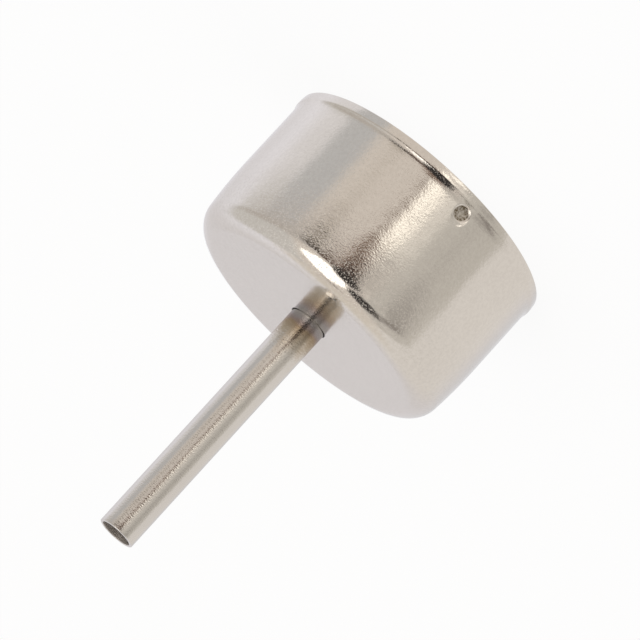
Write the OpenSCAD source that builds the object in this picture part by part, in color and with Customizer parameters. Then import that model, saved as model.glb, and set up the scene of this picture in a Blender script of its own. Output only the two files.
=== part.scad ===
// Hot air nozzle: a drawn sheet cup that slips over the end of a hot air
// handpiece, with a straight outlet tube brazed into the centre of its base.
// The nozzle stands on its rim, with the tube pointing up along +Z.

/* [Cup] */
// Outside diameter of the straight wall
cup_od = 36.5; // [30:0.1:44]
// Height from the rim to the outside of the base
cup_height = 20; // [18:0.5:30]
// Thickness of the sheet
sheet = 0.5; // [0.3:0.05:0.8]
// Outside radius of the corner between wall and base
corner_r = 2.9; // [1.5:0.1:3.5]
// Height above the rim at which the wall starts to draw in
draw_start = 10.5; // [7:0.5:11]
// Distance that the wall has drawn in by at the level of the corner
draw_in = 0.33; // [0.1:0.01:0.5]

/* [Lip] */
// Distance that the lip stands out from the wall
lip_step = 0.2; // [0.1:0.05:0.5]
// Height at which the lip is widest
lip_wide = 1; // [0.6:0.1:1.5]
// Radius on which the lip's band turns in below its widest place
turn_r = 5.7; // [2:0.1:10]
// Radius of the crease above the band, on the inside of the sheet
crease_r = 0.15; // [0.1:0.05:0.3]
// Radius of the neck above the crease, on the outside of the sheet
neck_r = 2.1; // [1:0.1:3]
// Radius on which the neck runs out into the wall
run_out_r = 8; // [4:0.5:12]
// Angle of the neck where it starts to run out
run_out_angle = 4.7; // [2:0.1:8]
// Width of the broken edges of the rim
rim_edge = 0.1; // [0.05:0.01:0.14]
// Height of the straight edge above the rim's broken edge
rim_flat = 0.05; // [0.02:0.01:0.1]

/* [Dimples] */
// Number of dimples round the wall
dimple_count = 3; // [2:1:6]
// Height of the dimples' centres above the rim
dimple_height = 2.65; // [2.3:0.05:5]
// Diameter of a dimple where it leaves the outside of the wall
dimple_d = 2; // [1.8:0.1:3]
// Diameter of a dimple's flat floor
dimple_floor_d = 1.6; // [0.6:0.1:1.7]
// Depth of a dimple in the outside of the wall
dimple_depth = 0.3; // [0.1:0.05:0.35]
// Height of the nub that a dimple raises inside the wall
nub_height = 0.2; // [0.1:0.05:0.3]

/* [Tube] */
// Bore of the outlet tube
tube_bore = 4; // [2:0.1:10]
// Wall thickness of the tube
tube_wall = 0.4; // [0.3:0.05:0.8]
// Length of tube outside the base
tube_reach = 34.2; // [20:0.1:60]
// Length of tube inside the base
tube_inset = 1; // [0.9:0.1:2]
// Width of the broken edges of the tube's ends
tube_edge = 0.08; // [0.03:0.01:0.12]

/* [Brazed seam] */
// Gap between the tube and its hole, which the braze fills
seam_gap = 0.06; // [0.03:0.01:0.15]
// Radius of the outer edge of the hole, left open as a fine groove
hole_edge_r = 0.2; // [0.1:0.05:0.25]
// Leg of the braze fillet inside the cup
fillet_leg = 0.7; // [0.4:0.1:0.8]

/* [Hidden] */
$fn = 96;

// Steps in the arcs of a section
corner_steps = 12;
lip_steps = 4;
draw_steps = 4;
edge_steps = 4;

cup_r = cup_od / 2;
base_inside = cup_height - sheet;

// Below its widest place the lip turns in again, by a third of a right angle at most
lip_r = cup_r + lip_step;
lip_turn = asin(min(0.5, (lip_wide - rim_edge - rim_flat) / turn_r));
rim_r = lip_r - turn_r * (1 - cos(lip_turn));

// Above it the sheet bends sharply in the crease, hollows out in the neck and runs out into the wall
crease_out = crease_r + sheet;
crease_centre = [lip_r - crease_out, lip_wide];
neck_lead = (run_out_r - neck_r) * [cos(run_out_angle), sin(run_out_angle)];
neck_x = cup_r + run_out_r - neck_lead.x;
crease_angle = acos((neck_x - crease_centre.x) / (crease_out + neck_r));
neck_centre = [neck_x, lip_wide + (crease_out + neck_r) * sin(crease_angle)];
lip_top = neck_centre.y + neck_lead.y;

// The drawn-in wall is one shallow arc, and the corner's arc runs on from it
draw_rise = cup_height - corner_r - draw_start;
draw_r = (draw_rise ^ 2 + draw_in ^ 2) / (2 * draw_in);
draw_angle = asin(draw_rise / (draw_r - corner_r));
corner_x = cup_r - draw_r + (draw_r - corner_r) * cos(draw_angle);

tube_r = tube_bore / 2 + tube_wall;
tube_foot = base_inside - tube_inset;
tube_top = cup_height + tube_reach;
hole_r = tube_r + seam_gap;
seam_top = cup_height - hole_edge_r;

// Slack by which a cut or an added lump runs past the face that it starts from
past = 0.2;

// Points of an arc about a centre; one that runs on from the point before it skips its own first point
function arc(centre, r, from, to, steps, skip = 0) = [
    for (i = [skip:steps])
        let (a = from + (to - from) * i / steps)
            centre + r * [cos(a), sin(a)]
];

function reversed(points) = [for (i = [len(points) - 1:-1:0]) points[i]];

// One face of the bent sheet, from the lip to the flat of the base, at a depth below the outside
function sheet_face(depth) = concat(
    arc([lip_r - turn_r, lip_wide], turn_r - depth, -lip_turn, 0, lip_steps),
    arc(crease_centre, crease_out - depth, 0, crease_angle, lip_steps, skip = 1),
    arc(neck_centre, neck_r + depth, 180 + crease_angle, 180 + run_out_angle, lip_steps, skip = 1),
    arc([cup_r + run_out_r, lip_top], run_out_r + depth, 180 + run_out_angle, 180, lip_steps, skip = 1),
    arc([cup_r - draw_r, draw_start], draw_r - depth, 0, draw_angle, draw_steps),
    arc([corner_x, cup_height - corner_r], corner_r - depth, draw_angle, 90, corner_steps, skip = 1)
);

// Half section of the cup
module cup_section() {
    rim_outside = [[rim_r - rim_edge, 0], [rim_r, rim_edge]];
    rim_inside = [[rim_r - sheet, rim_edge], [rim_r - sheet + rim_edge, 0]];
    hole = concat(
        arc([hole_r + hole_edge_r, cup_height - hole_edge_r], hole_edge_r, 90, 180, edge_steps),
        [[hole_r, base_inside]]
    );
    polygon(concat(rim_outside, sheet_face(0), hole, reversed(sheet_face(sheet)), rim_inside));
}

// Places children at each dimple, with +Z pointing out of the wall and 0 on the wall's outside
module at_dimples() {
    for (i = [0:dimple_count - 1])
        rotate([0, 0, -90 + 360 * i / dimple_count])
            translate([cup_r, 0, dimple_height])
                rotate([0, 90, 0])
                    children();
}

// A cone whose radius is the floor's at one height and the mouth's at another, run on to a third height
module punch(floor_z, mouth_z, end_z) {
    slope = (dimple_d - dimple_floor_d) / 2 / (mouth_z - floor_z);
    translate([0, 0, floor_z])
        cylinder(
            h = end_z - floor_z,
            r1 = dimple_floor_d / 2,
            r2 = dimple_floor_d / 2 + slope * (end_z - floor_z)
        );
}

module cup() {
    color([0.75, 0.72, 0.68])
        difference() {
            union() {
                rotate_extrude() cup_section();
                at_dimples() punch(-sheet - nub_height, -sheet, -sheet + past);
            }
            at_dimples() punch(-dimple_depth, 0, past);
        }
}

module tube() {
    bore = tube_bore / 2;
    color([0.71, 0.70, 0.68])
        rotate_extrude()
            polygon([
                [bore, tube_foot + tube_edge],
                [bore + tube_edge, tube_foot],
                [tube_r - tube_edge, tube_foot],
                [tube_r, tube_foot + tube_edge],
                [tube_r, tube_top - tube_edge],
                [tube_r - tube_edge, tube_top],
                [bore + tube_edge, tube_top],
                [bore, tube_top - tube_edge]
            ]);
}

// Braze drawn into the gap, with a hollow fillet between the tube and the inside of the base
module braze_seam() {
    fillet_centre = [hole_r + fillet_leg, base_inside - fillet_leg];
    color([0.24, 0.20, 0.17])
        rotate_extrude()
            polygon(concat(
                [[tube_r, seam_top], [tube_r, base_inside - fillet_leg]],
                arc(fillet_centre, fillet_leg, 180, 90, edge_steps),
                [[hole_r, base_inside], [hole_r, seam_top]]
            ));
}

cup();
tube();
braze_seam();
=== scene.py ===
"""Hot air nozzle: a drawn, nickel plated sheet cup with a straight outlet tube brazed into its base.

The nozzle stands on its rim with the tube pointing up. Each piece is a section turned round the Z axis.
"""

import math
from collections import namedtuple

import bpy
from mathutils import Matrix, Vector, noise


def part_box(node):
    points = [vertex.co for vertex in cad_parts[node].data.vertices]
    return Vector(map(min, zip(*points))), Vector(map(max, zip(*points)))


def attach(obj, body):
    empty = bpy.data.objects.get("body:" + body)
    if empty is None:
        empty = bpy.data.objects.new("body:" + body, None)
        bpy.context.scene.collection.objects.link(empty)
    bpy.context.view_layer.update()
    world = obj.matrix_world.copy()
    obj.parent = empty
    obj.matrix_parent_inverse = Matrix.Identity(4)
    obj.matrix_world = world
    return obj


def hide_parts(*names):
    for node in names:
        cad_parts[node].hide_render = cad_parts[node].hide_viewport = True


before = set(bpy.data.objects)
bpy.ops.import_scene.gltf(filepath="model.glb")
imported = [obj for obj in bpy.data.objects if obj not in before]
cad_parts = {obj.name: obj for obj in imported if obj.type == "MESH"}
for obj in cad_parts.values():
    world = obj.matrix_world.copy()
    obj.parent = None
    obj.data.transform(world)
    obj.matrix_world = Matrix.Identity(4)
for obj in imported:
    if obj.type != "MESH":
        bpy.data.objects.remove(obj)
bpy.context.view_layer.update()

MM = 0.001
HALF_TURN = math.pi
QUARTER = math.pi / 2

# Overall sizes, from the frame
_, cup_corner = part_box("cup")
tube_foot_corner, tube_top_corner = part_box("tube")
_, seam_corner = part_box("braze_seam")
LIP_R = cup_corner.x
CUP_HEIGHT = cup_corner.z
TUBE_R = tube_top_corner.x
TUBE_TOP = tube_top_corner.z
TUBE_FOOT = tube_foot_corner.z
SEAM_TOP = seam_corner.z

# Sheet of the cup and its bends
SHEET = 0.5 * MM
CORNER_R = 2.9 * MM
DRAW_START = 10.5 * MM
DRAW_IN = 0.33 * MM
LIP_STEP = 0.2 * MM
LIP_WIDE = 1 * MM
TURN_R = 5.7 * MM
CREASE_R = 0.15 * MM
NECK_R = 2.1 * MM
RUN_OUT_R = 8 * MM
RUN_OUT_ANGLE = math.radians(4.7)
RIM_EDGE = 0.1 * MM
RIM_FLAT = 0.05 * MM
HOLE_EDGE_R = 0.2 * MM
BASE_INSIDE = CUP_HEIGHT - SHEET
CUP_R = LIP_R - LIP_STEP

# Below its widest place the lip turns in again
LIP_TURN = math.asin((LIP_WIDE - RIM_EDGE - RIM_FLAT) / TURN_R)
RIM_R = LIP_R - TURN_R * (1 - math.cos(LIP_TURN))

# Above it the sheet bends sharply in the crease, hollows out in the neck and runs out into the wall
CREASE_OUT = CREASE_R + SHEET
CREASE_X = LIP_R - CREASE_OUT
NECK_LEAD = RUN_OUT_R - NECK_R
NECK_X = CUP_R + RUN_OUT_R - NECK_LEAD * math.cos(RUN_OUT_ANGLE)
CREASE_ANGLE = math.acos((NECK_X - CREASE_X) / (CREASE_OUT + NECK_R))
NECK_Z = LIP_WIDE + (CREASE_OUT + NECK_R) * math.sin(CREASE_ANGLE)
LIP_TOP = NECK_Z + NECK_LEAD * math.sin(RUN_OUT_ANGLE)

# The drawn-in wall is one shallow arc, and the corner's arc runs on from it
DRAW_RISE = CUP_HEIGHT - CORNER_R - DRAW_START
DRAW_R = (DRAW_RISE**2 + DRAW_IN**2) / (2 * DRAW_IN)
DRAW_ANGLE = math.asin(DRAW_RISE / (DRAW_R - CORNER_R))
CORNER_X = CUP_R - DRAW_R + (DRAW_R - CORNER_R) * math.cos(DRAW_ANGLE)

# Dimples pressed into the wall from outside
DIMPLE_COUNT = 3
DIMPLE_HEIGHT = 2.65 * MM
DIMPLE_MOUTH_R = 1.12 * MM
DIMPLE_WALL = 0.23 * MM
DIMPLE_DEPTH = 0.3 * MM
DIMPLE_LEAN = 0.3
WALL_DEPTH = 0.2 * MM
NUB_HEIGHT = 0.2 * MM

# The shallow dish that a punch drags in round its crater, and the two faces of the sheet that it presses
DISH_HALF_WIDTH = 1.1 * MM
DISH_HALF_HEIGHT = 1.3 * MM
DISH_RISE = 0.4 * MM
DISH_SHIFT = -0.12 * MM
DISH_DEPTH = 0.09 * MM
DISH_FLATNESS = 4
DISH_EDGE = 0.05
PUNCH_R = DISH_HALF_HEIGHT + DISH_RISE
PRESSED_FROM_R = CUP_R - 2 * SHEET
INSIDE_R = CUP_R - SHEET / 4

# The uneven, dark floor of a dimple and the faint smear below it
FLOOR_GRAIN = 0.25 * MM
FLOOR_RELIEF = 0.03 * MM
SOOT_R = 0.95 * MM
SOOT_EDGE = 0.06 * MM
SOOT_MIDDLE = 0.5
SMEAR_DROP = 1.3 * MM
SMEAR_SHIFT = 0.2 * MM
SMEAR_HALF_WIDTH = 1.0 * MM
SMEAR_HALF_HEIGHT = 0.35 * MM
SMEAR_SHARE = 0.45
PUNCH_MARK = "punch_mark"

# Tube and braze
TUBE_WALL = 0.4 * MM
TUBE_EDGE = 0.08 * MM
SEAM_GAP = 0.06 * MM
FILLET_LEG = 0.7 * MM
BORE_R = TUBE_R - TUBE_WALL
HOLE_R = TUBE_R + SEAM_GAP

# Fineness of the meshes
CUP_SEGMENTS = 288
TUBE_SEGMENTS = 160
FLOOR_SEGMENTS = 64
ROW = 0.3 * MM
BASE_ROW = 6 * ROW
TUBE_ROW = 4 * ROW
BAND_STEPS = 8
CREASE_STEPS = 7
NECK_STEPS = 8
RUN_OUT_STEPS = 5
DRAW_STEPS = 12
CORNER_STEPS = 28
HOLE_EDGE_STEPS = 8
OUTLET_EDGE_STEPS = 6
EDGE_STEPS = 4
FILLET_STEPS = 12
SEAM_TOP_STEPS = 6
DIMPLE_CUTS = 5
SEED_SIZE = 0.2 * MM
MERGE_GAP = 0.0002 * MM

# A noise has its scale per metre, and a pair of values is a range's two ends
Noise = namedtuple("Noise", "scale detail roughness", defaults=(0.5,))
NOISE_MIDDLE = (0.3, 0.7)
CLOUD_MIDDLE = (0.25, 0.75)

# Grain that runs round the axis is scaled by its pitch and turns
CIRCLING_GRAIN = Noise(1.0, 2.0, 0.6)

# Colours and dullness of the nickel plate
PLATE_CLOUDS = Noise(90.0, 4.0, 0.6)
PLATE_COLOURS = ((0.63, 0.585, 0.525, 1), (0.685, 0.64, 0.575, 1))
PLATE_DULLNESS = (0.06, 0.09)
MOTTLE = Noise(2600.0, 3.0)
MOTTLE_STRENGTH = (-0.35, 0.35)
SPECKLE = Noise(4000.0, 2.0)
SPECKLE_SPAN = (0.62, 0.38)
SPECKLE_STRENGTH = (0.4, 1.0)
SOOT_COLOUR = (0.115, 0.08, 0.036, 1)
SOOT_DULLNESS = 0.5
FLAT_RADII = (CORNER_X + 0.3 * MM, CORNER_X - 1.5 * MM)
FLAT_DULLNESS = 0.085

# Relief of the nickel plate: broad waves, wrinkles round the wall and small pimples
WAVES = Noise(400.0, 1.0)
WAVE_HEIGHT = 0.03 * MM
WRINKLE_PITCH = 0.21 * MM
WRINKLE_TURNS = 62.0
WRINKLE_HEIGHT = 0.013 * MM
DRAWN_HEIGHTS = (9 * MM, 13 * MM)
DRAWN_STRENGTH = (0.95, 1.35)
CORNER_HEIGHTS = (18 * MM, 16 * MM)
CORNER_STRENGTH = (0.4, 1.0)
FLAT_WRINKLE_LOSS = 0.2
PIMPLES = Noise(7800.0, 1.0)
PIMPLE_SPAN = (0.59, 0.74)
PIMPLE_HEIGHT = 0.015 * MM
STRETCHED_HEIGHTS = (10 * MM, 16.5 * MM)
STRETCHED_STRENGTH = (0.25, 1.0)
FLAT_PIMPLE_LOSS = 0.6

# Ground steel of the tube
STEEL_CLOUDS = Noise(200.0, 4.0, 0.6)
STEEL_COLOURS = ((0.6, 0.565, 0.515, 1), (0.66, 0.62, 0.565, 1))
STEEL_DULLNESS = (0.11, 0.16)
RING_PITCH = 0.16 * MM
RING_TURNS = 6.0
RING_HEIGHT = 0.02 * MM
DOTS = Noise(6500.0, 1.0)
DOT_HEIGHT = 0.015 * MM
BORE_RADII = (BORE_R + 0.1 * MM, BORE_R + 0.02 * MM)
BORE_COLOUR = (0.5, 0.46, 0.42, 1)
BORE_DULLNESS = 0.5
SCORCHED_HEIGHTS = (3.5 * MM, 0.5 * MM)
SCORCHED_DULLNESS = (0.0, 0.1)

# Temper colours of the tube, by the share of their reach above the seam
TINT_REACH = 6 * MM
TINT_WANDER = Noise(700.0, 3.0)
WANDER_SPAN = (0.2, 0.8)
WANDER_STRETCH = (0.75, 1.25)
TEMPER_COLOURS = (
    (0.0, (0.64, 0.655, 0.695, 1)),
    (0.1, (0.57, 0.57, 0.64, 1)),
    (0.17, (0.54, 0.475, 0.495, 1)),
    (0.26, (0.61, 0.505, 0.39, 1)),
    (0.42, (0.81, 0.745, 0.645, 1)),
    (0.7, (0.97, 0.95, 0.92, 1)),
    (1.0, (1, 1, 1, 1)),
)

# Dark oxide and painted crevice shade at the seam: dark all round, faint on the side that faces the camera
OXIDE_AND_SHADE_COLOUR = (0.06, 0.055, 0.05, 1)
OXIDE_AND_SHADE_RADII = (HOLE_R + 0.13 * MM, HOLE_R + 0.05 * MM)
OXIDE_AND_SHADE_HEIGHTS = (-0.02 * MM, -0.1 * MM)
SHADE_FAINT_AT = math.radians(-75)
SHADE_FAINT_SPAN = (0.4, 0.95)
SHADE_FAINT_STRENGTH = (1.0, 0.3)

# Braze
BRAZE_SCALE = Noise(2500.0, 4.0, 0.7)
BRAZE_COLOURS = ((0.05, 0.045, 0.04, 1), (0.16, 0.13, 0.11, 1))
BRAZE_DULLNESS = (0.45, 0.65)
BRAZE_RELIEF = 0.02 * MM
BRAZE_METAL = 0.6

# Floor
FLOOR_R = 3
FLOOR_COLOUR = (0.94, 0.94, 0.93, 1)
FLOOR_DULLNESS = 0.9
FLOOR_GLOW = 0.88

# The photograph's camera
CAMERA_AT = Vector((146.18, -561.2, 173.92)) * MM
CAMERA_AZIMUTH = math.radians(14.68)
CAMERA_ELEVATION = math.radians(14.98)
CAMERA_ROLL = math.radians(-137.65)
CAMERA_LENS = 286.7
CAMERA_SENSOR = 36
CAMERA_CLIP = (0.01, 20)

# The studio is a pale tent, whose colours blend over ranges of a direction's parts
TENT_SIDES = ((0.94, 0.92, 0.915, 1), (1.04, 1.05, 1.15, 1))
TENT_BACK = (0.85, 0.837, 0.88, 1)
TENT_ROOF = (0.87, 0.82, 0.765, 1)
SIDES_BLEND = (0.4, -0.4)
BACK_BLEND = (-0.5, -0.95)
ROOF_BLEND = (0.8, 0.97)

# Patches lie over the tent in turn, placed in degrees aside from the photograph's side and up
Patch = namedtuple("Patch", "centre half_size colour softness turn squareness", defaults=(0.0, 2.0))
DARK = (0.05, 0.045, 0.045)
PATCHES = (
    # The tent's open front and what stands beside and behind it
    Patch((-12, 0), (78, 92), (0.865, 0.81, 0.77), 0.05, squareness=6.0),
    Patch((-92, -14), (24, 26), (0.97, 0.97, 1.03), 0.5),
    Patch((-90, 29), (38, 42), (0.77, 0.765, 0.765), 0.2),
    Patch((-71, -16), (15, 26), (0.67, 0.68, 0.71), 0.35),
    Patch((46, 0), (25, 60), (0.715, 0.695, 0.665), 0.14, squareness=3.0),
    Patch((-66, 2), (44, 10), (0.63, 0.6, 0.58), 0.4),
    Patch((170, -16), (24, 17), (0.79, 0.79, 0.82), 0.5),
    # Soft box and a bar above it
    Patch((-22, 42.5), (26, 26), (2.3, 2.25, 2.2), 0.04, turn=10, squareness=1.6),
    Patch((-16, 75), (26, 3), (0.4, 0.36, 0.32), 0.5),
    # Dark shapes in the open front
    Patch((-38, -9), (7, 6), (0.68, 0.63, 0.58), 0.6),
    Patch((-29, 0.5), (18, 4.6), (0.08, 0.066, 0.06), 0.4, turn=12),
    Patch((-20, 2), (9, 6), (0.15, 0.1, 0.082), 0.4),
    Patch((14, -8), (9, 7), (0.66, 0.63, 0.6), 0.6),
    Patch((-5, -6), (9, 7.5), (0.4, 0.3, 0.255), 0.5),
    Patch((-4, -5), (10, 2.6), (0.27, 0.175, 0.145), 0.5),
    Patch((-6, -12), (3.2, 3.4), (0.2, 0.14, 0.105), 0.5),
    Patch((-1, 12), (14.5, 18), DARK, 0.2),
    Patch((24, 39), (20, 15.5), DARK, 0.2, turn=-22),
    # Shade at its far edge
    Patch((45, -5), (9, 8), (0.5, 0.48, 0.46), 0.6),
    Patch((46, -25), (9, 5), (0.55, 0.53, 0.51), 0.5),
    Patch((48.5, 14), (7, 20), (0.36, 0.335, 0.32), 0.7, turn=25),
    # Low lamps
    Patch((18, -18), (8, 5), (1.0, 0.965, 0.92), 0.6),
    Patch((12, -34), (11, 6), (1.7, 1.65, 1.57), 0.3),
    Patch((1.5, -21), (3.5, 5), (1.85, 1.79, 1.67), 0.2),
    Patch((6, -16.8), (8, 2.9), (1.66, 1.6, 1.49), 0.3, turn=-10),
)


def arc(centre, radius, start, end, steps):
    """Points of a section along an arc, from one angle to another."""
    points = []
    for i in range(steps + 1):
        angle = start + (end - start) * i / steps
        points.append((centre[0] + radius * math.cos(angle), centre[1] + radius * math.sin(angle)))
    return points


def straight(start, end, pitch):
    """Points of a section between two others, which aren't repeated, at about this pitch."""
    steps = max(1, round(math.dist(start, end) / pitch))
    points = []
    for i in range(1, steps):
        share = i / steps
        points.append(tuple(a + (b - a) * share for a, b in zip(start, end)))
    return points


def joined(*stretches):
    """One outline out of several stretches, without points that coincide."""
    outline = []
    for point in (p for stretch in stretches for p in stretch):
        if not outline or math.dist(point, outline[-1]) > MERGE_GAP:
            outline.append(point)
    return outline


def sheet_face(depth):
    """One face of the bent sheet, from the lip to the flat of the base, at a depth below the outside."""
    neck_start = HALF_TURN + CREASE_ANGLE
    neck_end = HALF_TURN + RUN_OUT_ANGLE
    run_out_centre = (CUP_R + RUN_OUT_R, LIP_TOP)
    corner_centre = (CORNER_X, CUP_HEIGHT - CORNER_R)
    band = arc((LIP_R - TURN_R, LIP_WIDE), TURN_R - depth, -LIP_TURN, 0, BAND_STEPS)
    crease = arc((CREASE_X, LIP_WIDE), CREASE_OUT - depth, 0, CREASE_ANGLE, CREASE_STEPS)
    neck = arc((NECK_X, NECK_Z), NECK_R + depth, neck_start, neck_end, NECK_STEPS)
    run_out = arc(run_out_centre, RUN_OUT_R + depth, neck_end, HALF_TURN, RUN_OUT_STEPS)
    drawn = arc((CUP_R - DRAW_R, DRAW_START), DRAW_R - depth, 0, DRAW_ANGLE, DRAW_STEPS)
    corner = arc(corner_centre, CORNER_R - depth, DRAW_ANGLE, QUARTER, CORNER_STEPS)
    wall = straight(run_out[-1], drawn[0], ROW)
    return joined(band, crease, neck, run_out, wall, drawn, corner)


def cup_section():
    """The sheet's half section, round the whole outline."""
    outside_centre = (RIM_R - RIM_EDGE, RIM_EDGE)
    inside_centre = (RIM_R - SHEET + RIM_EDGE, RIM_EDGE)
    hole_centre = (HOLE_R + HOLE_EDGE_R, CUP_HEIGHT - HOLE_EDGE_R)
    rim_outside = arc(outside_centre, RIM_EDGE, -QUARTER, 0, EDGE_STEPS)
    rim_inside = arc(inside_centre, RIM_EDGE, HALF_TURN, 3 * QUARTER, EDGE_STEPS)
    hole_edge = arc(hole_centre, HOLE_EDGE_R, QUARTER, HALF_TURN, HOLE_EDGE_STEPS)
    outside = sheet_face(0)
    inside = sheet_face(SHEET)
    hole_foot = [(HOLE_R, BASE_INSIDE)]
    base = straight(outside[-1], hole_edge[0], BASE_ROW)
    ceiling = straight(hole_foot[0], inside[-1], BASE_ROW)
    return joined(rim_outside, outside, base, hole_edge, hole_foot, ceiling, inside[::-1], rim_inside)


def tube_section():
    """The tube's wall with rounded edges at both ends."""
    outside_r = TUBE_R - TUBE_EDGE
    inside_r = BORE_R + TUBE_EDGE
    foot = TUBE_FOOT + TUBE_EDGE
    top = TUBE_TOP - TUBE_EDGE
    foot_outside = arc((outside_r, foot), TUBE_EDGE, -QUARTER, 0, EDGE_STEPS)
    top_outside = arc((outside_r, top), TUBE_EDGE, 0, QUARTER, OUTLET_EDGE_STEPS)
    top_inside = arc((inside_r, top), TUBE_EDGE, QUARTER, HALF_TURN, OUTLET_EDGE_STEPS)
    foot_inside = arc((inside_r, foot), TUBE_EDGE, HALF_TURN, 3 * QUARTER, EDGE_STEPS)
    skin = straight(foot_outside[-1], top_outside[0], TUBE_ROW)
    bore = straight(top_inside[-1], foot_inside[0], TUBE_ROW)
    return joined(foot_outside, skin, top_outside, top_inside, bore, foot_inside)


def braze_section():
    """Braze in the gap round the tube, with a hollow top and a hollow fillet inside the cup."""
    fillet_centre = (HOLE_R + FILLET_LEG, BASE_INSIDE - FILLET_LEG)
    fillet = arc(fillet_centre, FILLET_LEG, HALF_TURN, QUARTER, FILLET_STEPS)
    top_centre = ((TUBE_R + HOLE_R) / 2, SEAM_TOP)
    top = arc(top_centre, SEAM_GAP / 2, 0, -HALF_TURN, SEAM_TOP_STEPS)
    return joined(fillet, [(HOLE_R, BASE_INSIDE)], top)


def lathe(name, section, segments):
    """Turns a closed section, given as radius and height, round the Z axis into one closed solid."""
    bpy.ops.object.select_all(action="DESELECT")
    first = section[0]
    bpy.ops.mesh.primitive_plane_add(size=SEED_SIZE, location=(first[0], 0, first[1]))
    piece = bpy.context.object
    piece.name = name
    piece.data.name = name
    bpy.ops.object.transform_apply(location=True, rotation=True, scale=True)
    bpy.context.tool_settings.mesh_select_mode = (True, False, False)
    bpy.ops.object.mode_set(mode="EDIT")
    bpy.ops.mesh.merge(type="CENTER")
    for start, end in zip(section, section[1:] + section[:1]):
        step = (end[0] - start[0], 0, end[1] - start[1])
        bpy.ops.mesh.extrude_vertices_move(TRANSFORM_OT_translate={"value": step})
    bpy.ops.mesh.select_all(action="SELECT")
    bpy.ops.mesh.remove_doubles(threshold=MERGE_GAP)
    bpy.ops.mesh.spin(steps=segments, angle=2 * math.pi, center=(0, 0, 0), axis=(0, 0, 1))
    bpy.ops.mesh.select_all(action="SELECT")
    bpy.ops.mesh.remove_doubles(threshold=MERGE_GAP)
    bpy.ops.mesh.normals_make_consistent(inside=False)
    bpy.ops.object.mode_set(mode="OBJECT")
    bpy.ops.object.shade_smooth()
    return piece


def round_radius(point):
    """Radius of the turned wall under a point on one of its flat facets."""
    facet = 2 * math.pi / CUP_SEGMENTS
    off_middle = math.remainder(math.atan2(point.y, point.x) - facet / 2, facet)
    return point.xy.length * math.cos(off_middle) / math.cos(facet / 2)


def from_dimple(point):
    """How far a point lies round the wall and up it from the nearest dimple; the first dimple faces -Y."""
    spacing = 2 * math.pi / DIMPLE_COUNT
    turned = math.atan2(point.y, point.x) + QUARTER
    return CUP_R * math.remainder(turned, spacing), point.z - DIMPLE_HEIGHT


def on_punched_wall(point):
    """Whether a point lies on the wall within a punch's reach."""
    if point.xy.length < PRESSED_FROM_R:
        return False
    return math.hypot(*from_dimple(point)) < PUNCH_R


def ease(share):
    """A smooth step from 0 to 1."""
    share = min(1, max(0, share))
    return share * share * (3 - 2 * share)


def crater(point):
    """Depth of a punch's crater as a share of the whole: a steep wall, then a hollow floor, deeper below."""
    across, up = from_dimple(point)
    distance = math.hypot(across, up)
    wall = ease((DIMPLE_MOUTH_R - distance) / DIMPLE_WALL)
    hollow = ease((DIMPLE_MOUTH_R - distance) / DIMPLE_MOUTH_R)
    wall_share = WALL_DEPTH / DIMPLE_DEPTH
    return (wall_share * wall + (1 - wall_share) * hollow) * (1 - DIMPLE_LEAN * up / DIMPLE_MOUTH_R)


def dish(point):
    """Share of the depth of the shallow dish that a punch drags in round its crater, a little above it."""
    across, up = from_dimple(point)
    reach = math.hypot((across - DISH_SHIFT) / DISH_HALF_WIDTH, (up - DISH_RISE) / DISH_HALF_HEIGHT)
    left = 1 - reach**DISH_FLATNESS
    return (left + math.sqrt(left**2 + DISH_EDGE**2)) / 2


def soot(point):
    """Share of a punch's dark mark at a point: lighter towards its middle, with a faint smear below it."""
    across, up = from_dimple(point)
    distance = math.hypot(across, up)
    lightened = SOOT_MIDDLE + (1 - SOOT_MIDDLE) * ease(distance / SOOT_R)
    mark = ease((SOOT_R - distance) / SOOT_EDGE) * lightened
    off_smear = math.hypot((across - SMEAR_SHIFT) / SMEAR_HALF_WIDTH, (up + SMEAR_DROP) / SMEAR_HALF_HEIGHT)
    return max(mark, SMEAR_SHARE * ease(1 - off_smear))


def press_dimples(cup):
    """Refines the wall round each dimple, inside and outside, and presses it in."""
    bpy.ops.object.mode_set(mode="EDIT")
    bpy.context.tool_settings.mesh_select_mode = (False, False, True)
    bpy.ops.mesh.select_all(action="DESELECT")
    bpy.ops.object.mode_set(mode="OBJECT")
    for face in cup.data.polygons:
        face.select = on_punched_wall(face.center)
    bpy.ops.object.mode_set(mode="EDIT")
    bpy.ops.mesh.subdivide(number_cuts=DIMPLE_CUTS)
    bpy.ops.object.mode_set(mode="OBJECT")
    mark = cup.data.attributes.new(PUNCH_MARK, "FLOAT", "POINT")
    for vertex in cup.data.vertices:
        place = vertex.co.copy()
        if not on_punched_wall(place) or place.z < RIM_EDGE:
            continue
        inside = place.xy.length < INSIDE_R
        depth = NUB_HEIGHT if inside else DIMPLE_DEPTH
        sooty = 0 if inside else soot(place)
        relief = FLOOR_RELIEF * noise.noise(place / FLOOR_GRAIN) * sooty
        pressed = DISH_DEPTH * dish(place) + (depth - DISH_DEPTH) * crater(place) + relief
        radius = round_radius(place) - pressed
        vertex.co.xy = place.xy.normalized() * radius
        mark.data[vertex.index].value = sooty
    cup.data.update()


def add_node(tree, kind, inputs=None, **settings):
    """Adds a node with its settings; an input that is a socket is linked, and any other value is set."""
    node = tree.nodes.new(kind)
    for name, value in settings.items():
        setattr(node, name, value)
    for name, value in (inputs or {}).items():
        if isinstance(value, bpy.types.NodeSocket):
            tree.links.new(value, node.inputs[name])
        else:
            node.inputs[name].default_value = value
    return node


def calc(tree, operation, *values):
    """One step of arithmetic on sockets or numbers."""
    return add_node(tree, "ShaderNodeMath", dict(enumerate(values)), operation=operation).outputs[0]


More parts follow.
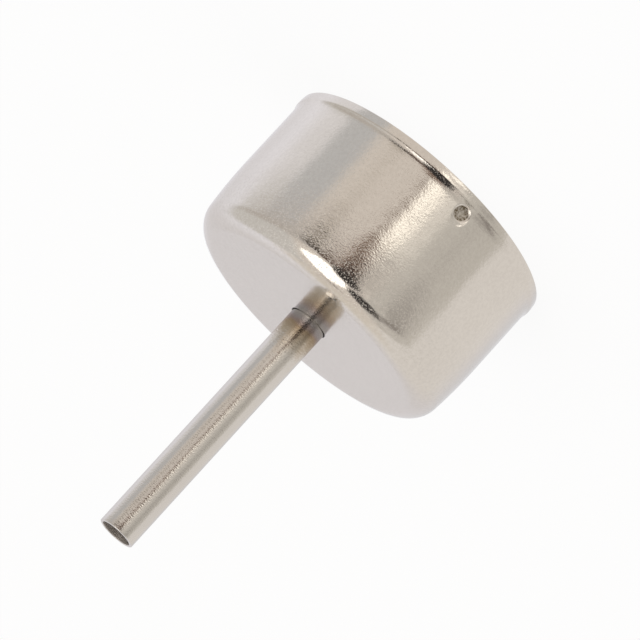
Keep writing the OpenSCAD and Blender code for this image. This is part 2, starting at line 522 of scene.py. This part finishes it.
def vector_calc(tree, operation, *vectors):
    """One step of arithmetic on vectors, which gives a vector, or a number for a length or dot product."""
    node = add_node(tree, "ShaderNodeVectorMath", dict(enumerate(vectors)), operation=operation)
    gives_number = operation in ("LENGTH", "DOT_PRODUCT")
    return node.outputs["Value" if gives_number else "Vector"]


def scaled(tree, value, span, ends=(0.0, 1.0)):
    """A value taken smoothly from one range to another and held at its ends."""
    inputs = {"Value": value, "From Min": span[0], "From Max": span[1], "To Min": ends[0], "To Max": ends[1]}
    kind = "ShaderNodeMapRange"
    return add_node(tree, kind, inputs, interpolation_type="SMOOTHSTEP").outputs["Result"]


def mixed(tree, share, first, second, blend="MIX"):
    """Two colours mixed by a share."""
    inputs = {"Factor": share, 6: first, 7: second}
    return add_node(tree, "ShaderNodeMix", inputs, data_type="RGBA", blend_type=blend).outputs[2]


def noise_at(tree, vector, kind):
    """A noise between 0 and 1."""
    inputs = {"Vector": vector, "Scale": kind.scale, "Detail": kind.detail, "Roughness": kind.roughness}
    return add_node(tree, "ShaderNodeTexNoise", inputs).outputs[0]


def bumped(tree, height, distance, under=None):
    """Normal of a surface raised by a height, on top of another bump if there is one."""
    inputs = {"Height": height, "Distance": distance, "Strength": 1.0}
    if under is not None:
        inputs["Normal"] = under
    return add_node(tree, "ShaderNodeBump", inputs).outputs["Normal"]


def height_of(tree, position):
    """Height of a point above the rim, or how far a direction points up."""
    return add_node(tree, "ShaderNodeSeparateXYZ", {0: position}).outputs["Z"]


def levelled(tree, position):
    """A point brought down to the level of the rim."""
    axes = add_node(tree, "ShaderNodeSeparateXYZ", {0: position}).outputs
    return add_node(tree, "ShaderNodeCombineXYZ", {0: axes["X"], 1: axes["Y"]}).outputs[0]


def axis_distance(tree, position):
    """Distance of a point from the nozzle's axis."""
    return vector_calc(tree, "LENGTH", levelled(tree, position))


FLOAT = "NodeSocketFloat"
VECTOR = "NodeSocketVector"
COLOUR = "NodeSocketColor"


def new_group(name, inputs, outputs):
    """An empty node group with its sockets, and the nodes that give its inputs and take its outputs."""
    group = bpy.data.node_groups.new(name, "ShaderNodeTree")
    for socket, kind in inputs.items():
        group.interface.new_socket(socket, in_out="INPUT", socket_type=kind)
    for socket, kind in outputs.items():
        group.interface.new_socket(socket, in_out="OUTPUT", socket_type=kind)
    given = group.nodes.new("NodeGroupInput").outputs
    result = group.nodes.new("NodeGroupOutput").inputs
    return group, given, result


def circling_grain_group():
    """Fine grain that runs round the axis: Pitch sets it across, and Turns how often it breaks off."""
    inputs = {"Position": VECTOR, "Pitch": FLOAT, "Turns": FLOAT}
    group, given, result = new_group("circling_grain", inputs, {"Height": FLOAT})
    radius = axis_distance(group, given["Position"])
    turn = vector_calc(group, "NORMALIZE", levelled(group, given["Position"]))
    spread = {0: turn, "Scale": given["Turns"]}
    around = add_node(group, "ShaderNodeVectorMath", spread, operation="SCALE").outputs["Vector"]
    climb = calc(group, "SUBTRACT", height_of(group, given["Position"]), radius)
    rows = calc(group, "DIVIDE", climb, given["Pitch"])
    rise = add_node(group, "ShaderNodeCombineXYZ", {2: rows}).outputs[0]
    place = vector_calc(group, "ADD", around, rise)
    group.links.new(noise_at(group, place, CIRCLING_GRAIN), result["Height"])
    return group


def heat_tint_group():
    """Temper colours by the distance from a heated edge: a tint to multiply a metal's colour with."""
    inputs = {"Position": VECTOR, "Distance": FLOAT, "Reach": FLOAT}
    group, given, result = new_group("heat_tint", inputs, {"Tint": COLOUR})
    wander = noise_at(group, given["Position"], TINT_WANDER)
    stretch = scaled(group, wander, WANDER_SPAN, WANDER_STRETCH)
    share = calc(group, "DIVIDE", given["Distance"], given["Reach"])
    ramp = group.nodes.new("ShaderNodeValToRGB")
    group.links.new(calc(group, "MULTIPLY", share, stretch), ramp.inputs[0])
    elements = ramp.color_ramp.elements
    while len(elements) < len(TEMPER_COLOURS):
        elements.new(0.5)
    for element, (place, colour) in zip(elements, TEMPER_COLOURS):
        element.position = place
        element.color = colour
    group.links.new(ramp.outputs["Color"], result["Tint"])
    return group


def studio_patch_group():
    """A soft-edged patch of the studio by azimuth and elevation, turned about its centre."""
    names = ("Azimuth", "Elevation", "Centre Azimuth", "Centre Elevation", "Turn")
    names += ("Half Width", "Half Height", "Squareness", "Softness")
    group, given, result = new_group("studio_patch", dict.fromkeys(names, FLOAT), {"Mask": FLOAT})
    aside = calc(group, "SUBTRACT", given["Azimuth"], given["Centre Azimuth"])
    above = calc(group, "SUBTRACT", given["Elevation"], given["Centre Elevation"])
    cosine = calc(group, "COSINE", given["Turn"])
    sine = calc(group, "SINE", given["Turn"])

    def share(first, second, half):
        away = calc(group, "ABSOLUTE", calc(group, "ADD", first, second))
        return calc(group, "POWER", calc(group, "DIVIDE", away, given[half]), given["Squareness"])

    times = "MULTIPLY"
    back = calc(group, times, sine, -1.0)
    across = share(calc(group, times, aside, cosine), calc(group, times, above, sine), "Half Width")
    upward = share(calc(group, times, above, cosine), calc(group, times, aside, back), "Half Height")
    inverse = calc(group, "DIVIDE", 1.0, given["Squareness"])
    reach = calc(group, "POWER", calc(group, "ADD", across, upward), inverse)
    inner = calc(group, "SUBTRACT", 1.0, given["Softness"])
    outer = calc(group, "ADD", 1.0, given["Softness"])
    group.links.new(scaled(group, reach, (outer, inner)), result["Mask"])
    return group


def circling_grain(tree, position, pitch, turns):
    """Height of grain that runs round the axis."""
    inputs = {"Position": position, "Pitch": pitch, "Turns": turns}
    return add_node(tree, "ShaderNodeGroup", inputs, node_tree=GRAIN).outputs["Height"]


def heat_tint(tree, position, distance, reach):
    """Tint of a metal at a distance from the brazed seam."""
    inputs = {"Position": position, "Distance": distance, "Reach": reach}
    return add_node(tree, "ShaderNodeGroup", inputs, node_tree=TINT).outputs["Tint"]


def seam_oxide_and_shade(tree, position, radius):
    """Strength of the seam's dark oxide and painted crevice shade, dark all round but faint on the side that
    faces the camera.
    """
    faint = (math.cos(SHADE_FAINT_AT), math.sin(SHADE_FAINT_AT), 0)
    toward = vector_calc(tree, "DOT_PRODUCT", position, faint)
    return scaled(tree, calc(tree, "DIVIDE", toward, radius), SHADE_FAINT_SPAN, SHADE_FAINT_STRENGTH)


def new_material(name):
    """A material, its nodes, its one Principled shader and the position on the piece."""
    material = bpy.data.materials.new(name)
    material.use_nodes = True
    tree = material.node_tree
    shader = tree.nodes["Principled BSDF"]
    position = tree.nodes.new("ShaderNodeTexCoord").outputs["Object"]
    return material, tree, shader, position


def nickel_plate():
    """Bright nickel on a drawn sheet: wrinkled round the wall, pimpled at the corner, dull in dimples."""
    material, tree, shader, position = new_material("nickel_plate")
    radius = axis_distance(tree, position)
    height = height_of(tree, position)
    clouds = noise_at(tree, position, PLATE_CLOUDS)
    marked = add_node(tree, "ShaderNodeAttribute", attribute_name=PUNCH_MARK).outputs["Fac"]
    speckle = scaled(tree, noise_at(tree, position, SPECKLE), SPECKLE_SPAN, SPECKLE_STRENGTH)
    sooty = calc(tree, "MULTIPLY", marked, speckle)
    # Dark oxide and painted crevice shade round the hole, faint on the side that faces the camera
    facing_shade = seam_oxide_and_shade(tree, position, radius)
    oxide_and_shade_share = calc(tree, "MULTIPLY", facing_shade, scaled(tree, radius, OXIDE_AND_SHADE_RADII))
    mottle = scaled(tree, noise_at(tree, position, MOTTLE), NOISE_MIDDLE, MOTTLE_STRENGTH)
    plate = mixed(tree, calc(tree, "ADD", clouds, mottle), *PLATE_COLOURS)
    dulled = mixed(tree, sooty, plate, SOOT_COLOUR)
    oxide_and_shade_coloured = mixed(tree, oxide_and_shade_share, dulled, OXIDE_AND_SHADE_COLOUR)
    tree.links.new(oxide_and_shade_coloured, shader.inputs["Base Color"])

    # The flat of the base is duller than the drawn wall
    on_flat = scaled(tree, radius, FLAT_RADII)
    polish = scaled(tree, clouds, CLOUD_MIDDLE, PLATE_DULLNESS)
    plain = calc(tree, "ADD", polish, calc(tree, "MULTIPLY", on_flat, FLAT_DULLNESS))
    dull = calc(tree, "MAXIMUM", plain, calc(tree, "MULTIPLY", marked, SOOT_DULLNESS))
    tree.links.new(dull, shader.inputs["Roughness"])

    # Drawing wrinkled the wall more and more towards the corner, which smoothed the wrinkles again
    waves = bumped(tree, noise_at(tree, position, WAVES), WAVE_HEIGHT)
    drawn = scaled(tree, height, DRAWN_HEIGHTS, DRAWN_STRENGTH)
    off_corner = scaled(tree, height, CORNER_HEIGHTS, CORNER_STRENGTH)
    smoothed = calc(tree, "SUBTRACT", off_corner, calc(tree, "MULTIPLY", on_flat, FLAT_WRINKLE_LOSS))
    wrinkled = calc(tree, "MULTIPLY", drawn, smoothed)
    grain = circling_grain(tree, position, WRINKLE_PITCH, WRINKLE_TURNS)
    wrinkles = bumped(tree, calc(tree, "MULTIPLY", grain, wrinkled), WRINKLE_HEIGHT, waves)

    # Small pimples are scattered where the sheet was stretched most, over the corner
    stretched = scaled(tree, height, STRETCHED_HEIGHTS, STRETCHED_STRENGTH)
    shown = calc(tree, "SUBTRACT", stretched, calc(tree, "MULTIPLY", on_flat, FLAT_PIMPLE_LOSS))
    pimples = scaled(tree, noise_at(tree, position, PIMPLES), PIMPLE_SPAN)
    pimpled = bumped(tree, calc(tree, "MULTIPLY", pimples, shown), PIMPLE_HEIGHT, wrinkles)
    tree.links.new(pimpled, shader.inputs["Normal"])
    shader.inputs["Metallic"].default_value = 1.0
    return material


def ground_steel():
    """The tube's ground steel, with fine rings round it, temper colours at the seam and a dull bore."""
    material, tree, shader, position = new_material("ground_steel")
    radius = axis_distance(tree, position)
    above_base = calc(tree, "SUBTRACT", height_of(tree, position), CUP_HEIGHT)
    bore = scaled(tree, radius, BORE_RADII)
    clouds = noise_at(tree, position, STEEL_CLOUDS)
    steel = mixed(tree, clouds, *STEEL_COLOURS)
    tint = heat_tint(tree, position, above_base, TINT_REACH)
    tinted = mixed(tree, 1.0, steel, tint, blend="MULTIPLY")
    # Dark oxide and painted crevice shade at the tube's foot, faint on the side that faces the camera
    facing_shade = seam_oxide_and_shade(tree, position, radius)
    oxide_and_shade_share = calc(tree, "MULTIPLY", facing_shade, scaled(tree, above_base, OXIDE_AND_SHADE_HEIGHTS))
    oxide_and_shade_coloured = mixed(tree, oxide_and_shade_share, tinted, OXIDE_AND_SHADE_COLOUR)
    tree.links.new(mixed(tree, bore, oxide_and_shade_coloured, BORE_COLOUR), shader.inputs["Base Color"])

    # Heat dulls the foot, and the bore is dull throughout
    scorched = scaled(tree, above_base, SCORCHED_HEIGHTS, SCORCHED_DULLNESS)
    dull = calc(tree, "ADD", scaled(tree, clouds, CLOUD_MIDDLE, STEEL_DULLNESS), scorched)
    bore_dull = calc(tree, "MULTIPLY", bore, BORE_DULLNESS)
    tree.links.new(calc(tree, "MAXIMUM", dull, bore_dull), shader.inputs["Roughness"])

    # Rings from grinding, broken up by fine dots
    rings = bumped(tree, circling_grain(tree, position, RING_PITCH, RING_TURNS), RING_HEIGHT)
    dotted = bumped(tree, noise_at(tree, position, DOTS), DOT_HEIGHT, rings)
    tree.links.new(dotted, shader.inputs["Normal"])
    shader.inputs["Metallic"].default_value = 1.0
    return material


def oxidised_braze():
    """Dark, scaled braze."""
    material, tree, shader, position = new_material("oxidised_braze")
    scale = noise_at(tree, position, BRAZE_SCALE)
    tree.links.new(mixed(tree, scale, *BRAZE_COLOURS), shader.inputs["Base Color"])
    tree.links.new(scaled(tree, scale, NOISE_MIDDLE, BRAZE_DULLNESS), shader.inputs["Roughness"])
    tree.links.new(bumped(tree, scale, BRAZE_RELIEF), shader.inputs["Normal"])
    shader.inputs["Metallic"].default_value = BRAZE_METAL
    return material


def floor_paint():
    """Plain white floor, which shows a faint shadow; its glow is only seen and lights nothing."""
    material, tree, shader, _ = new_material("floor_paint")
    shader.inputs["Base Color"].default_value = FLOOR_COLOUR
    shader.inputs["Roughness"].default_value = FLOOR_DULLNESS
    shader.inputs["Specular IOR Level"].default_value = 0.0
    glow = add_node(tree, "ShaderNodeEmission", {"Color": (1, 1, 1, 1), "Strength": 1.0}).outputs[0]
    rays = tree.nodes.new("ShaderNodeLightPath").outputs
    mirrored = calc(tree, "MAXIMUM", rays["Is Glossy Ray"], rays["Is Transmission Ray"])
    seen = calc(tree, "MAXIMUM", rays["Is Camera Ray"], mirrored)
    share = calc(tree, "MULTIPLY", seen, FLOOR_GLOW)
    surface = add_node(tree, "ShaderNodeMixShader", {0: share, 1: shader.outputs[0], 2: glow}).outputs[0]
    tree.links.new(surface, tree.nodes["Material Output"].inputs["Surface"])
    return material


def light_studio():
    """A pale tent open at the front, with a soft box, low lamps and dark shapes in it."""
    world = bpy.data.worlds.new("studio")
    bpy.context.scene.world = world
    world.use_nodes = True
    tree = world.node_tree
    toward_front = (math.sin(CAMERA_AZIMUTH), -math.cos(CAMERA_AZIMUTH), 0)
    to_the_side = (-math.cos(CAMERA_AZIMUTH), -math.sin(CAMERA_AZIMUTH), 0)
    direction = tree.nodes.new("ShaderNodeTexCoord").outputs["Generated"]
    ahead = vector_calc(tree, "DOT_PRODUCT", direction, toward_front)
    aside = vector_calc(tree, "DOT_PRODUCT", direction, to_the_side)
    height = height_of(tree, direction)
    azimuth = calc(tree, "ARCTAN2", aside, ahead)
    elevation = calc(tree, "ARCSINE", height)
    patch_shape = studio_patch_group()

    light = mixed(tree, scaled(tree, aside, SIDES_BLEND), *TENT_SIDES)
    light = mixed(tree, scaled(tree, ahead, BACK_BLEND), light, TENT_BACK)
    light = mixed(tree, scaled(tree, height, ROOF_BLEND), light, TENT_ROOF)
    for patch in PATCHES:
        inputs = {
            "Azimuth": azimuth,
            "Elevation": elevation,
            "Centre Azimuth": math.radians(patch.centre[0]),
            "Centre Elevation": math.radians(patch.centre[1]),
            "Turn": math.radians(patch.turn),
            "Half Width": math.radians(patch.half_size[0]),
            "Half Height": math.radians(patch.half_size[1]),
            "Squareness": patch.squareness,
            "Softness": patch.softness,
        }
        mask = add_node(tree, "ShaderNodeGroup", inputs, node_tree=patch_shape).outputs["Mask"]
        light = mixed(tree, mask, light, (*patch.colour, 1))
    tree.links.new(light, tree.nodes["Background"].inputs["Color"])


def lay_floor():
    """The floor takes the shadow; metal shows the studio and not the floor."""
    bpy.ops.object.select_all(action="DESELECT")
    bpy.ops.mesh.primitive_circle_add(vertices=FLOOR_SEGMENTS, radius=FLOOR_R, fill_type="NGON")
    floor = bpy.context.object
    floor.name = "floor"
    floor.data.materials.append(floor_paint())
    floor.visible_glossy = False
    floor.visible_shadow = False


def place_camera():
    """The camera of the photograph, which sees the nozzle turned upside down."""
    lens = bpy.data.cameras.new("camera")
    lens.lens = CAMERA_LENS
    lens.sensor_width = CAMERA_SENSOR
    lens.clip_start = CAMERA_CLIP[0]
    lens.clip_end = CAMERA_CLIP[1]
    camera = bpy.data.objects.new("camera", lens)
    bpy.context.collection.objects.link(camera)
    level = Vector((math.cos(CAMERA_AZIMUTH), math.sin(CAMERA_AZIMUTH), 0))
    ahead = Vector((-math.sin(CAMERA_AZIMUTH), math.cos(CAMERA_AZIMUTH), 0))
    forward = ahead * math.cos(CAMERA_ELEVATION) - Vector((0, 0, math.sin(CAMERA_ELEVATION)))
    upright = level.cross(forward)
    across = level * math.cos(CAMERA_ROLL) + upright * math.sin(CAMERA_ROLL)
    above = across.cross(forward)
    turn = Matrix((across, above, -forward)).transposed().to_4x4()
    camera.matrix_world = Matrix.Translation(CAMERA_AT) @ turn
    bpy.context.scene.camera = camera


def finish_piece(piece, material, node):
    """Gives a piece its material and its place in the frame."""
    piece.data.materials.append(material)
    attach(piece, "root")
    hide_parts(node)


GRAIN = circling_grain_group()
TINT = heat_tint_group()

cup_shell = lathe("cup_shell", cup_section(), CUP_SEGMENTS)
press_dimples(cup_shell)
finish_piece(cup_shell, nickel_plate(), "cup")

outlet_tube = lathe("outlet_tube", tube_section(), TUBE_SEGMENTS)
finish_piece(outlet_tube, ground_steel(), "tube")

braze_ring = lathe("braze_ring", braze_section(), TUBE_SEGMENTS)
finish_piece(braze_ring, oxidised_braze(), "braze_seam")

lay_floor()
light_studio()
place_camera()
bpy.context.scene.view_settings.view_transform = "Standard"
